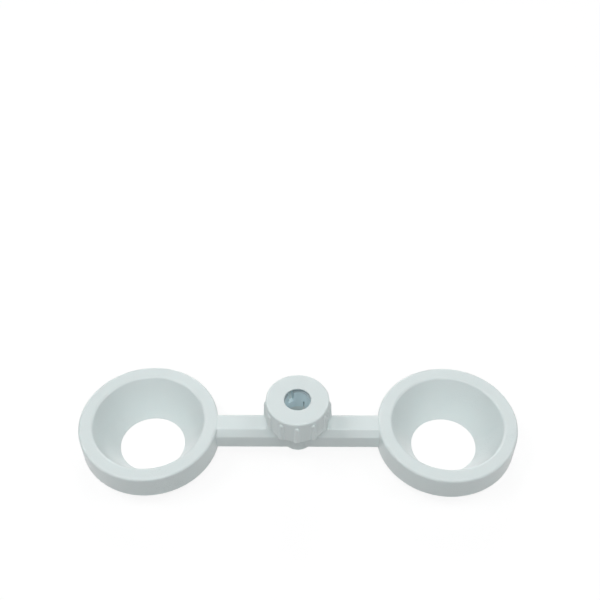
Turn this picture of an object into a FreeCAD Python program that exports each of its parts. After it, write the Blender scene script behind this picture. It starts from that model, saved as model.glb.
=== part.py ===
# Double funnel holder for a retort stand. One moulding carries two conical funnel seats on two arms.
# In its middle a slotted collet, drawn down by a ribbed nut, grips the upright rod of the stand.
# Millimetres. The origin lies on the rod's axis, at the height of the seats' lower ends.
# +X runs along the arms and +Z is up.
import FreeCAD, Part

import math
import os

from FreeCAD import Vector

# Seats, each a 60 degree cone inside a plain skirt, joined by a flat rim
seat_offset = 80.5          # rod axis to seat axis
mouth_radius = 30.2         # where cone and rim would meet in a sharp edge
rim_width = 7.3             # from there to the outside of the skirt
seat_depth = 22.2           # rim down to the cone's lower end
cone_half_angle = 30.0      # degrees from the seat's axis
skirt_height = 14.8
skirt_wall = 2.4
rim_wall = 2.4
cone_wall = 2.2
mouth_round = 1.8
rim_round = 1.3

# Arms, channels that are open below
arm_width = 15.0
arm_height = 13.2
arm_drop = 0.4              # arm top below the rim
arm_chamfer_width = 3.1
arm_chamfer_height = 3.8
arm_wall = 2.2
arm_round = 1.3
cross_rib_count = 2         # in each arm
cross_rib_wall = 1.8
cross_rib_setback = 1.5     # above the arm's lower edges

# Rod, and the collet that grips it, with slots cut from both ends in turn
rod_radius = 6.5            # thickest upright that it takes
rod_clearance = 0.2         # rod to the open collet
collet_tip_wall = 1.0       # at the lower end
collet_length = 13.0
collet_half_angle = 9.5     # degrees
collet_clearance = 0.2      # between the cones of collet and head
flange_reach = 0.65         # proud of the collet's cone
flange_height = 1.7
rod_lead_in_width = 1.7     # shallow cone round the collet's upper mouth
rod_lead_in_depth = 0.6
slot_count = 3              # at each end
upper_slot_width = 3.2
upper_slot_depth = 7.5
lower_slot_width = 1.0
lower_slot_depth = 5.2
slot_turn = 122.0           # degrees, from +X to the first upper slot

# Boss, neck and threaded head of the moulding
bore_clearance = 0.6        # rod to the bore through the boss
boss_wall = 1.3
boss_drop = 1.3             # below the arms
neck_flare = 1.4            # height over which the boss widens to the neck, under the arm top
neck_wall = 1.3             # round the lower end of the collet
neck_height = 6.5           # above the rim
boss_round = 1.0            # of the boss's lower edge
head_wall = 1.8             # round the upper end of the collet
head_height = 8.7           # from the neck's upper end
head_lead_in = 0.8

# Nut
nut_wall = 4.15
nut_height = 14.0
nut_draft = 0.45            # by which the wall is wider at its lower end
nut_hole_clearance = 0.5    # rod to the hole in the disc
nut_disc_wall = 1.9
hole_lip_wall = 0.8         # of the disc, at its hole
hole_lip_reach = 1.8        # from the hole to where the disc is at its full wall
head_gap = 0.3              # head to the bead over it
thread_depth = 0.8
thread_clearance = 0.25     # crest of one thread to root of the other
flange_clearance = 0.1      # flange to the pocket that holds it, above and below
pocket_clearance = 0.25     # flange to the pocket's wall
bead_clearance = 0.3        # collet's cone to the bead under its flange
bead_height = 0.6
nut_rib_count = 12
nut_rib_radius = 1.6        # of the half-round rib
nut_rib_reach = 1.05        # proud of the wall
nut_rib_drop = 2.4          # top of the ribs below the nut's face
nut_face_round = 0.9

# Edges that are only softened
soft_edge = 0.5
corner_fillet = 1.0
fine_edge = 0.3

# Heights, worked out from the sizes above
rim_z = seat_depth
arm_top_z = rim_z - arm_drop
arm_bottom_z = arm_top_z - arm_height
boss_bottom_z = arm_bottom_z - boss_drop
neck_top_z = rim_z + neck_height
head_top_z = neck_top_z + head_height
bead_bottom_z = head_top_z + head_gap
bead_top_z = bead_bottom_z + bead_height
flange_bottom_z = bead_top_z + flange_clearance
collet_top_z = flange_bottom_z + flange_height
collet_bottom_z = collet_top_z - collet_length
ceiling_z = collet_top_z + flange_clearance
nut_top_z = ceiling_z + nut_disc_wall
nut_bottom_z = nut_top_z - nut_height


def collet_radius(height):
    """Outside radius of the collet's cone at a height."""
    slope = math.tan(math.radians(collet_half_angle))
    return collet_bore_radius + collet_tip_wall + (height - collet_bottom_z) * slope


# Radii, worked out from the rod and the mouth of a seat outwards
cone_slope = math.tan(math.radians(cone_half_angle))
outlet_radius = mouth_radius - seat_depth * cone_slope
seat_radius = mouth_radius + rim_width
collet_bore_radius = rod_radius + rod_clearance
rod_bore_radius = rod_radius + bore_clearance
nut_hole_radius = rod_radius + nut_hole_clearance
boss_radius = rod_bore_radius + boss_wall
neck_radius = collet_radius(collet_bottom_z) + collet_clearance + neck_wall
head_radius = collet_radius(head_top_z) + collet_clearance + head_wall
flange_radius = collet_radius(flange_bottom_z) + flange_reach
nut_bore_radius = head_radius + thread_depth + thread_clearance
nut_radius = nut_bore_radius + nut_wall
UP = Vector(0, 0, 1)


def turned(outline):
    """The solid made by turning an outline of (radius, height) points about the rod's axis."""
    points = [Vector(radius, 0, height) for radius, height in outline]
    face = Part.Face(Part.makePolygon(points + points[:1]))
    return face.revolve(Vector(), UP, 360)


def round_circles(solid, radius, circles):
    """Rounds the level circular edges of the given (radius, height) on a turned solid."""
    def wanted(edge):
        if not isinstance(edge.Curve, Part.Circle):
            return False
        size = edge.Curve.Radius
        height = edge.Curve.Center.z
        return any(math.hypot(size - r, height - z) < 1e-4 for r, z in circles)
    return solid.makeFillet(radius, [edge for edge in solid.Edges if wanted(edge)])


def upright_cylinder(radius, low, high, x=0.0):
    """A cylinder between two heights, about the upright axis at x."""
    return Part.makeCylinder(radius, high - low, Vector(x, 0, low), UP)


def seat(x):
    """One funnel seat: cone, flat rim and outer skirt, open below between the cone and the skirt."""
    flat_cone_wall = cone_wall / math.cos(math.radians(cone_half_angle))
    skirt_bottom_z = rim_z - skirt_height
    rim_underside_z = rim_z - rim_wall
    skirt_inner = seat_radius - skirt_wall
    cone_back = mouth_radius - rim_wall * cone_slope + flat_cone_wall
    outlet_back = outlet_radius + flat_cone_wall
    solid = turned([
        (mouth_radius, rim_z),
        (seat_radius, rim_z),
        (seat_radius, skirt_bottom_z),
        (skirt_inner, skirt_bottom_z),
        (skirt_inner, rim_underside_z),
        (cone_back, rim_underside_z),
        (outlet_back, 0),
        (outlet_radius, 0),
    ])
    solid = round_circles(solid, mouth_round, [(mouth_radius, rim_z)])
    solid = round_circles(solid, rim_round, [(seat_radius, rim_z)])
    inner_fillet = min(corner_fillet, 0.4 * (skirt_inner - cone_back))
    solid = round_circles(solid, inner_fillet, [(skirt_inner, rim_underside_z), (cone_back, rim_underside_z)])
    skirt_edge = min(soft_edge, 0.4 * skirt_wall)
    solid = round_circles(solid, skirt_edge, [(seat_radius, skirt_bottom_z), (skirt_inner, skirt_bottom_z)])
    outlet_edge = min(soft_edge, 0.4 * cone_wall)
    solid = round_circles(solid, outlet_edge, [(outlet_back, 0), (outlet_radius, 0)])
    solid.translate(Vector(x, 0, 0))
    return solid


def arm_prism(inset, low_z, start, end):
    """A bar of the arm's section, drawn in by inset, with square lower corners at low_z."""
    side = arm_width / 2 - inset
    top = arm_top_z - inset
    # Where faces that each move in by the inset meet again
    slant = math.atan2(arm_chamfer_height, arm_chamfer_width)
    top_side = arm_width / 2 - arm_chamfer_width - inset * math.tan(slant / 2)
    shoulder_z = arm_top_z - arm_chamfer_height - inset * math.tan(math.pi / 4 - slant / 2)
    corners = [
        (-side, low_z),
        (-side, shoulder_z),
        (-top_side, top),
        (top_side, top),
        (side, shoulder_z),
        (side, low_z),
    ]
    points = [Vector(start, y, z) for y, z in corners]
    face = Part.Face(Part.makePolygon(points + points[:1]))
    return face.extrude(Vector(end - start, 0, 0))


def arm(side):
    """One arm, from the rod's axis to the middle of the seat's skirt, with ribs across its channel."""
    bar = arm_prism(0, arm_bottom_z, 0, seat_offset)
    long_edges = [edge for edge in bar.Edges if edge.BoundBox.XLength > seat_offset / 2]
    bar = bar.makeFillet(min(arm_round, 0.6 * arm_wall), long_edges)
    bar = bar.cut(arm_prism(arm_wall, arm_bottom_z - 1, -1, seat_offset + 1))
    channel_end = seat_offset - seat_radius
    gap = (channel_end - boss_radius) / (cross_rib_count + 1)
    for number in range(1, cross_rib_count + 1):
        middle = boss_radius + number * gap
        rib = arm_prism(
            arm_wall / 2,
            arm_bottom_z + cross_rib_setback,
            middle - cross_rib_wall / 2,
            middle + cross_rib_wall / 2,
        )
        bar = bar.fuse(rib)
    inside_seat = upright_cylinder(seat_radius - skirt_wall / 2, arm_bottom_z - 1, rim_z + 1, seat_offset)
    bar = bar.cut(inside_seat)
    if side < 0:
        bar.rotate(Vector(), UP, 180)
    return bar


def spigot():
    """Boss, neck and head in one turned form, with the collet's conical seat in the head."""
    mouth_bottom_z = collet_bottom_z - collet_clearance
    flare_top_z = neck_top_z + head_radius - neck_radius
    solid = turned([
        (rod_bore_radius, boss_bottom_z),
        (boss_radius, boss_bottom_z),
        (boss_radius, arm_top_z - neck_flare),
        (neck_radius, arm_top_z),
        (neck_radius, neck_top_z),
        (head_radius, flare_top_z),
        (head_radius, head_top_z - head_lead_in),
        (head_radius - head_lead_in, head_top_z),
        (collet_radius(head_top_z) + collet_clearance, head_top_z),
        (collet_radius(mouth_bottom_z) + collet_clearance, mouth_bottom_z),
        (rod_bore_radius, mouth_bottom_z),
    ])
    lower_round = min(boss_round, 0.6 * (boss_radius - rod_bore_radius))
    return round_circles(solid, lower_round, [(boss_radius, boss_bottom_z)])


def holder_body():
    """The moulding: two seats, two arms and the spigot."""
    body = seat(seat_offset).fuse([seat(-seat_offset), arm(1), arm(-1), spigot()])
    inside_boss = upright_cylinder(rod_bore_radius, boss_bottom_z - 1, arm_top_z + 1)
    return body.cut(inside_boss).removeSplitter()


def clamp_collet():
    """The slotted conical sleeve that the nut carries by its flange."""
    solid = turned([
        (collet_bore_radius, collet_bottom_z),
        (collet_radius(collet_bottom_z), collet_bottom_z),
        (collet_radius(flange_bottom_z), flange_bottom_z),
        (flange_radius, flange_bottom_z),
        (flange_radius, collet_top_z),
        (collet_bore_radius + rod_lead_in_width, collet_top_z),
        (collet_bore_radius, collet_top_z - rod_lead_in_depth),
    ])
    slot_reach = flange_radius + 1
    turn = 360 / slot_count
    for number in range(slot_count):
        upper = Part.makeBox(slot_reach, upper_slot_width, upper_slot_depth + 1)
        upper.translate(Vector(0, -upper_slot_width / 2, collet_top_z - upper_slot_depth))
        upper.rotate(Vector(), UP, slot_turn + number * turn)
        lower = Part.makeBox(slot_reach, lower_slot_width, lower_slot_depth + 1)
        lower.translate(Vector(0, -lower_slot_width / 2, collet_bottom_z - 1))
        lower.rotate(Vector(), UP, slot_turn + (number + 0.5) * turn)
        solid = solid.cut(upper.fuse(lower))
    return solid


def clamp_nut():
    """The ribbed nut: a disc, thin at its hole, over a threaded wall and the pocket for the flange."""
    pocket_radius = flange_radius + pocket_clearance
    bead_radius = collet_radius(flange_bottom_z) + bead_clearance
    solid = turned([
        (nut_bore_radius, nut_bottom_z),
        (nut_radius + nut_draft, nut_bottom_z),
        (nut_radius, nut_top_z),
        (nut_hole_radius, nut_top_z),
        (nut_hole_radius, nut_top_z - hole_lip_wall),
        (nut_hole_radius + hole_lip_reach, ceiling_z),
        (pocket_radius, ceiling_z),
        (pocket_radius, bead_top_z),
        (bead_radius, bead_top_z),
        (bead_radius, bead_bottom_z),
        (nut_bore_radius, bead_bottom_z),
    ])
    solid = round_circles(solid, nut_face_round, [(nut_radius, nut_top_z)])
    solid = round_circles(solid, fine_edge, [(nut_hole_radius, nut_top_z), (nut_bore_radius, nut_bottom_z)])
    rib_top_z = nut_top_z - nut_rib_drop - nut_rib_radius
    rib_x = nut_radius + nut_rib_reach - nut_rib_radius
    ribs = []
    for number in range(nut_rib_count):
        foot = Vector(rib_x, 0, nut_bottom_z)
        rib = Part.makeCone(nut_rib_radius + nut_draft, nut_rib_radius, rib_top_z - nut_bottom_z, foot, UP)
        rib = rib.fuse(Part.makeSphere(nut_rib_radius, Vector(rib_x, 0, rib_top_z)))
        rib.rotate(Vector(), UP, number * 360 / nut_rib_count)
        ribs.append(rib)
    return solid.fuse(ribs).removeSplitter()


os.makedirs("parts", exist_ok=True)
pieces = {
    "holder_body": holder_body(),
    "clamp_collet": clamp_collet(),
    "clamp_nut": clamp_nut(),
}
for name, shape in pieces.items():
    shape.exportStep("parts/" + name + ".step")
    print(name, "solids", len(shape.Solids), "volume", round(shape.Volume), "valid", shape.isValid())
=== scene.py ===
# %% [markdown]
# # A holder for two filter funnels
# This lesson dresses a small piece of laboratory ware: one white plastic moulding with two conical
# seats for funnels, and in its middle a ribbed nut that draws a slotted collet onto the rod of a
# stand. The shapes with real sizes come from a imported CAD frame. The lesson adds the two screw
# threads, the finish of the plastics, a plain studio and the camera.

import math

import bpy
from mathutils import Matrix, Vector


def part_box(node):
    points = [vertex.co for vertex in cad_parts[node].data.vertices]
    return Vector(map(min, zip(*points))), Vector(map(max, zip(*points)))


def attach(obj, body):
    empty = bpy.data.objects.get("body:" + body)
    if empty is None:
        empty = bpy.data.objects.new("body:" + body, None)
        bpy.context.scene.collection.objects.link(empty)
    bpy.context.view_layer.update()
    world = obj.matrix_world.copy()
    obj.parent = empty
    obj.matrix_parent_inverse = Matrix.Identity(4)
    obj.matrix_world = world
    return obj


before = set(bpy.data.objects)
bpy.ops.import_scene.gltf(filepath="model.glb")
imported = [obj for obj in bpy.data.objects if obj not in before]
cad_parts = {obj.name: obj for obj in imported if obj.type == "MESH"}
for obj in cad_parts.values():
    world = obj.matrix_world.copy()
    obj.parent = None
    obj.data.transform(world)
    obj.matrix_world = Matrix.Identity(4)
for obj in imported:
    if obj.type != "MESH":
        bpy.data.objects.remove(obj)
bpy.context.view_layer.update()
MM = 0.001


# %% [markdown]
# The camera comes first, because every later choice is judged through it. The picture was taken
# with a short tele lens from 50 degrees above the bench, almost square to the arms. The object lies
# below the middle of the frame. Shifting the lens puts it there, where tilting the camera down
# would change the shape of the seats' ovals.

# %% Place the camera
view_azimuth = math.radians(0.764)
view_elevation = math.radians(49.641)
view_roll = math.radians(-0.411)
view_distance = 552.72 * MM
view_target = Vector((0.23, 54.93, 22.2)) * MM

back = Vector((
    math.sin(view_azimuth) * math.cos(view_elevation),
    -math.cos(view_azimuth) * math.cos(view_elevation),
    math.sin(view_elevation),
))
level = Vector((math.cos(view_azimuth), math.sin(view_azimuth), 0))
upright = back.cross(level)
right = level * math.cos(view_roll) + upright * math.sin(view_roll)
up = upright * math.cos(view_roll) - level * math.sin(view_roll)

camera_data = bpy.data.cameras.new("camera")
camera_data.sensor_width = 36
camera_data.lens = 57.73
camera_data.shift_x = 0.0017
camera_data.shift_y = 0.0731
camera = bpy.data.objects.new("camera", camera_data)
bpy.context.scene.collection.objects.link(camera)
orientation = Matrix((right, up, back)).transposed().to_4x4()
camera.matrix_world = Matrix.Translation(view_target + back * view_distance) @ orientation
bpy.context.scene.camera = camera
print("camera at", [round(value, 3) for value in camera.matrix_world.translation])

# %% [markdown]
# Shader networks are easier to read as sums than as boxes and wires. A small class wraps one socket
# of a node and overloads the arithmetic operators, so that `1 - mask` adds the Math node by itself.
# Every other node comes from its one method `node`, which sets the node up before it is wired. A
# Math node would turn a colour grey, so colours are mixed by a function of their own.

# %% Wrap a socket so that shader maths reads as Python
class Wire:
    """One output socket in a node tree, with Python's arithmetic."""

    def __init__(self, tree, socket=None):
        self.tree = tree
        self.socket = socket

    def node(self, kind, settings, inputs, output=0):
        """Adds a node of a kind: first its settings, then the values or wires of its sockets."""
        made = self.tree.nodes.new("ShaderNode" + kind)
        for name, value in settings.items():
            setattr(made, name, value)
        for name, value in inputs.items():
            if isinstance(value, Wire):
                self.tree.links.new(value.socket, made.inputs[name])
            else:
                made.inputs[name].default_value = value
        return Wire(self.tree, made.outputs[output] if made.outputs else None)

    def maths(self, operation, *values, clamp=False):
        return self.node("Math", {"operation": operation, "use_clamp": clamp}, dict(enumerate(values)))

    def __add__(self, other):
        return self.maths("ADD", self, other)

    def __radd__(self, other):
        return self.maths("ADD", other, self)

    def __sub__(self, other):
        return self.maths("SUBTRACT", self, other)

    def __rsub__(self, other):
        return self.maths("SUBTRACT", other, self)

    def __mul__(self, other):
        return self.maths("MULTIPLY", self, other)

    def __rmul__(self, other):
        return self.maths("MULTIPLY", other, self)


print("wire operators ready")

# %% Mix two colours and make a ramp
def colour_between(share, first, second):
    """The first colour where the share is 0, and the second where it is 1."""
    first_socket, second_socket, mixed_socket = 6, 7, 2
    sockets = {"Factor": share, first_socket: first, second_socket: second}
    return share.node("Mix", {"data_type": "RGBA"}, sockets, output=mixed_socket)


def ramp(wire, low, high):
    """A wire that rises from 0, where the given one is low, to 1, where it is high."""
    return wire.maths("DIVIDE", wire - low, high - low, clamp=True)


print("colour mix and ramp ready")

# %% [markdown]
# All three pieces are injection moulded, so they share one recipe. The steel of the mould is spark
# eroded, which prints a fine grain on the plastic. The walls cool unevenly, so large faces are very
# slightly wavy. The colour is almost even, with faint clouds where the melt flowed together. Light
# also enters this plastic and leaves it a millimetre or two further on, which softens its edges:
# `milkiness` is the share of such light. The recipe works in the object's own coordinates, so each
# feature keeps its real scale. Where a height is given, the colour above it is darkened. This is
# painted shade for the shadow that the nut's lip casts into the collet's mouth.

# %% Choose the sizes of the moulded skin
cloud_size = 22 * MM
wave_size = 14 * MM
wave_height = 0.05 * MM
cloud_gloss = 0.08
grain_gloss = 0.12
plastic_refraction = 1.49
light_travel = 1.5 * MM
light_travel_by_colour = (0.9, 1.0, 1.0)
# Painted shade: a dark colour, its share, and the height over which it fades in. They stand in for the
# shadow under the nut's lip at the collet's mouth.
painted_shade_colour = (0.10, 0.15, 0.18, 1)
painted_shade_share = 0.6
painted_shade_edge = 0.3 * MM
print("waves", wave_height / MM, "mm high and", wave_size / MM, "mm apart")

# %% Make the recipe for a moulded plastic
def moulded_plastic(
    name, light, dark, roughness, grain_size, grain_height, milkiness, painted_shade_from=None
):
    """A satin moulded plastic between two close colours, with painted shade above an optional height.
    """
    material = bpy.data.materials.new(name)
    material.use_nodes = True
    tree = material.node_tree
    tree.nodes.clear()
    start = Wire(tree)
    place = start.node("TexCoord", {}, {}, output="Object")

    def noise(size, detail):
        sockets = {"Vector": place, "Scale": 1 / size, "Detail": detail}
        return start.node("TexNoise", {}, sockets, output="Fac")

    clouds = noise(cloud_size, detail=2)
    grain = noise(grain_size, detail=3)
    waves = noise(wave_size, detail=0)
    colour = colour_between(clouds, dark, light)
    # Painted shade: above the given height the colour darkens, in place of the shadow that the nut's
    # lip casts on the collet's mouth.
    if painted_shade_from is not None:
        height = start.node("SeparateXYZ", {}, {"Vector": place}, output="Z")
        painted_shade = painted_shade_share * ramp(height, painted_shade_from, painted_shade_from + painted_shade_edge)
        colour = colour_between(painted_shade, colour, painted_shade_colour)
    gloss = roughness + cloud_gloss * (clouds - 0.5) + grain_gloss * (grain - 0.5)
    relief = grain * (grain_height / MM) + waves * (wave_height / MM)
    bump = start.node("Bump", {}, {"Height": relief, "Distance": MM, "Strength": 1.0})
    skin = start.node("BsdfPrincipled", {}, {
        "Base Color": colour,
        "Roughness": gloss,
        "Normal": bump,
        "IOR": plastic_refraction,
        "Subsurface Weight": milkiness,
        "Subsurface Radius": light_travel_by_colour,
        "Subsurface Scale": light_travel,
    })
    start.node("OutputMaterial", {}, {"Surface": skin})
    print("material", name, "nodes", len(tree.nodes))
    return material


# %% [markdown]
# The moulding and the nut are white polypropylene. It is never a pure white: it is a little cool
# and slightly milky. The collet seen in the nut's hole has a blue-grey tone. Round its mouth, in the
# last millimetre below its top, a dark ring of painted shade stands in for the shadow under the nut's
# lip.

# %% Dress the three CAD nodes
white_plastic = moulded_plastic(
    "white_polypropylene",
    light=(0.80, 0.867, 0.862, 1),
    dark=(0.775, 0.842, 0.842, 1),
    roughness=0.3,
    grain_size=0.5 * MM,
    grain_height=0.006 * MM,
    milkiness=0.4,
)
collet_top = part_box("clamp_collet")[1][2]
grey_plastic = moulded_plastic(
    "blue_grey_plastic",
    light=(0.82, 0.955, 0.99, 1),
    dark=(0.80, 0.94, 0.985, 1),
    roughness=0.6,
    grain_size=0.4 * MM,
    grain_height=0.006 * MM,
    milkiness=0.0,
    # Painted shade round the collet's mouth, for the shadow under the nut's lip.
    painted_shade_from=collet_top - 0.9 * MM,
)
finishes = {"holder_body": white_plastic, "clamp_nut": white_plastic, "clamp_collet": grey_plastic}
for node_name, material in finishes.items():
    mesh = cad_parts[node_name].data
    mesh.materials.clear()
    mesh.materials.append(material)
print("dressed", sorted(finishes))

# %% [markdown]
# The head of the moulding and the nut carry a coarse right-hand thread. The CAD solids stop at the
# roots, so each thread is a ridge that winds round a root cylinder. A ridge is a small trapezium
# swept along a helix; it fades out at both ends, as a moulded thread does, and its foot is sunk a
# little into the wall that carries it.

# %% Wind a thread ridge
thread_pitch = 2.5 * MM
ridge_foot = 0.85 * MM
ridge_top = 0.35 * MM
ridge_bite = 0.05 * MM
steps_per_turn = 72
fade_steps = 12


def thread_ridge(name, root, crest, low, high, phase):
    """A helical ridge from its root radius to its crest, between two heights."""
    turns = (high - low) / thread_pitch
    steps = round(turns * steps_per_turn)
    outwards = 1 if crest > root else -1
    foot_radius = root - outwards * ridge_bite
    points = []
    for step in range(steps + 1):
        strength = min(1, step / fade_steps, (steps - step) / fade_steps)
        angle = phase + step * math.tau / steps_per_turn
        middle = low + step * thread_pitch / steps_per_turn
        top_radius = root + (crest - root) * strength
        for radius, side in (
            (foot_radius, -ridge_foot),
            (top_radius, -ridge_top),
            (top_radius, ridge_top),
            (foot_radius, ridge_foot),
        ):
            points.append((radius * math.cos(angle), radius * math.sin(angle), middle + side))
    faces = []
    for step in range(steps):
        first = 4 * step
        for corner in range(4):
            following = (corner + 1) % 4
            faces.append((first + corner, first + 4 + corner, first + 4 + following, first + following))
    faces.append((0, 1, 2, 3))
    last = 4 * steps
    faces.append((last + 3, last + 2, last + 1, last))
    mesh = bpy.data.meshes.new(name)
    mesh.from_pydata(points, [], faces)
    if outwards < 0:
        mesh.flip_normals()
    mesh.materials.append(white_plastic)
    ridge = bpy.data.objects.new(name, mesh)
    bpy.context.scene.collection.objects.link(ridge)
    print(name, "turns", round(turns, 2), "faces", len(faces))
    return ridge


# %% [markdown]
# The ridge on the head points outwards and the one in the nut inwards. The nut's ridge starts one
# whole pitch lower and half a turn on, which sets it half a pitch off: so each runs in the other's
# groove. The heights are counted from the top of the head, which is the highest point of the
# moulding.

# %% Put the threads on the head and in the nut
head_radius = 11.42 * MM
head_crest = 12.20 * MM
nut_bore_radius = 12.47 * MM
nut_crest = 11.70 * MM
head_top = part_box("holder_body")[1][2]
head_low = head_top - 5.5 * MM
head_high = head_top - 1.5 * MM
nut_low = head_low - thread_pitch
nut_high = head_top - 1.0 * MM

head_thread = thread_ridge("head_thread", head_radius, head_crest, head_low, head_high, phase=0.0)
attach(head_thread, "holder")

nut_thread = thread_ridge("nut_thread", nut_bore_radius, nut_crest, nut_low, nut_high, phase=math.pi)
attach(nut_thread, "nut")

# %% [markdown]
# The studio is plain: a pale floor and four large softboxes, one on each side of the object. The
# front and side ones stand 60 degrees above it and the back one 30 degrees. Level faces are
# then the brightest, the light reaches down into the seats and into the nut's hole, the near walls
# lie in a soft shade and the far edges catch the light. That is what shows the form of a white
# object on a white ground. The floor and the sky are shown as white to the camera alone, so the
# object isn't lit by that white. The floor keeps the object's soft shadow and fades to plain white
# where the lamps fall off, so no horizon shows in a low view.

# %% Tell the rays that show the background
pure_white = (1, 1, 1, 1)


def white_to_the_camera(start):
    """1 for rays that show the background directly or in a mirror, and 0 for rays that carry light."""
    camera_ray, mirror_ray, clear_ray = [
        start.node("LightPath", {}, {}, output=name)
        for name in ("Is Camera Ray", "Is Glossy Ray", "Is Transmission Ray")
    ]
    return start.maths("MAXIMUM", start.maths("MAXIMUM", camera_ray, mirror_ray), clear_ray)


print("ray switch ready")

# %% Lay the floor
floor_half = 3.0
floor_mesh = bpy.data.meshes.new("floor")
floor_mesh.from_pydata(
    [(x * floor_half, y * floor_half, 0) for x, y in ((-1, -1), (1, -1), (1, 1), (-1, 1))],
    [],
    [(0, 1, 2, 3)],
)
floor = bpy.data.objects.new("floor", floor_mesh)
bpy.context.scene.collection.objects.link(floor)
print("floor laid,", 2 * floor_half, "m wide")

# %% Paint the floor
lit_shade = (0.66, 0.66, 0.66, 1)
shown_shade = (0.17, 0.17, 0.17, 1)
shown_glow = 0.87
fade_start = 0.3
fade_end = 1.0

floor_material = bpy.data.materials.new("floor")
floor_material.use_nodes = True
floor_material.node_tree.nodes.clear()
start = Wire(floor_material.node_tree)
paper = start.node("BsdfDiffuse", {}, {"Color": lit_shade})
dim_paper = start.node("BsdfDiffuse", {}, {"Color": shown_shade})
glow = start.node("Emission", {}, {"Color": pure_white, "Strength": shown_glow})
with_shadow = start.node("AddShader", {}, {0: dim_paper, 1: glow})
plain_white = start.node("Emission", {}, {"Color": pure_white, "Strength": 1.0})
place = start.node("TexCoord", {}, {}, output="Object")
reach = start.node("VectorMath", {"operation": "LENGTH"}, {0: place}, output="Value")
fade = ramp(reach, fade_start, fade_end)
shown = start.node("MixShader", {}, {0: fade, 1: with_shadow, 2: plain_white})
surface = start.node("MixShader", {}, {0: white_to_the_camera(start), 1: paper, 2: shown})
start.node("OutputMaterial", {}, {"Surface": surface})
floor_mesh.materials.append(floor_material)
print("floor painted, nodes", len(floor_material.node_tree.nodes))

# %% Fill the room with a faint sky
sky_colour = (0.9, 0.98, 1.0, 1)
sky_strength = 0.11

world = bpy.data.worlds.new("room")
bpy.context.scene.world = world
world.use_nodes = True
world.node_tree.nodes.clear()
start = Wire(world.node_tree)
sky = start.node("Background", {}, {"Color": sky_colour, "Strength": sky_strength})
white = start.node("Background", {}, {"Color": pure_white, "Strength": 1.0})
room = start.node("MixShader", {}, {0: white_to_the_camera(start), 1: sky, 2: white})
start.node("OutputWorld", {}, {"Surface": room})
print("sky", sky_strength)

# %% Hang the four softboxes
softbox_width = 1.0
softboxes = {
    "front": ((0, -1.05, 1.92), 15.6),
    "back": ((0, 1.9, 1.1), 11.0),
    "left": ((-1.1, 0, 1.9), 12.2),
    "right": ((1.1, 0, 1.9), 7.6),
}
for side, (spot, watts) in softboxes.items():
    lamp_data = bpy.data.lights.new("softbox_" + side, "AREA")
    lamp_data.shape = "DISK"
    lamp_data.size = softbox_width
    lamp_data.energy = watts
    lamp = bpy.data.objects.new("softbox_" + side, lamp_data)
    lamp.location = spot
    lamp.rotation_mode = "QUATERNION"
    lamp.rotation_quaternion = Vector(spot).to_track_quat("Z", "Y")
    bpy.context.scene.collection.objects.link(lamp)
bpy.context.scene.view_settings.view_transform = "Standard"
print("softboxes", len(softboxes), "with", sum(watts for _, watts in softboxes.values()), "watts")
